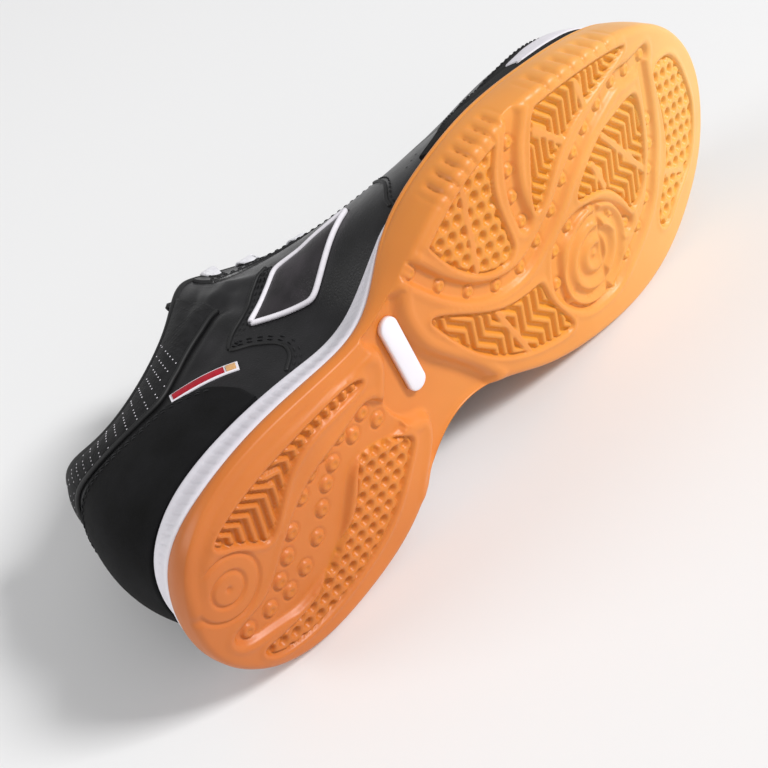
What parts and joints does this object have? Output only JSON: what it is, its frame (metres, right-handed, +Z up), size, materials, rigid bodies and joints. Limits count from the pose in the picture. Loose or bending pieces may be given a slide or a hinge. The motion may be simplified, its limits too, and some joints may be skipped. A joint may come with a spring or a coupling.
{
  "type": "indoor soccer shoe",
  "caption": "Right indoor soccer shoe lying on its inner side: gum cup sole with recessed tread, foam midsole, hollow leather upper, padded tongue, heel counter, toe cap and lace-up throat",
  "frame": {"origin": "centre of the bounding box in plan, on the floor that the shoe lies on", "axes": "X runs from heel to toe, Y from the tread to the collar and tongue, Z up from the floor; the shoe lies on its inner side, so Z also points to its outer side"},
  "size_m": [0.2764, 0.1184, 0.1066],
  "materials": {
    "gum_rubber": "satin amber gum rubber",
    "white_foam": "matt white foam",
    "black_leather": "smooth black leather with a soft sheen",
    "lining": "matt dark textile",
    "black_suede": "matt black suede",
    "red_tag": "woven red label",
    "white_lace": "woven white lace"
  },
  "bodies": {
    "root": {"outsole": "gum_rubber", "midsole": "white_foam", "upper": "black_leather", "insole": "lining", "tongue": "lining", "heel_counter": "black_suede", "toe_cap": "black_suede", "eyestay_lateral": "black_leather", "eyestay_medial": "black_leather", "side_panel": "black_leather", "tag": "red_tag", "shank_insert": "white_foam", "laces": "white_lace"}
  },
  "joints": []
}
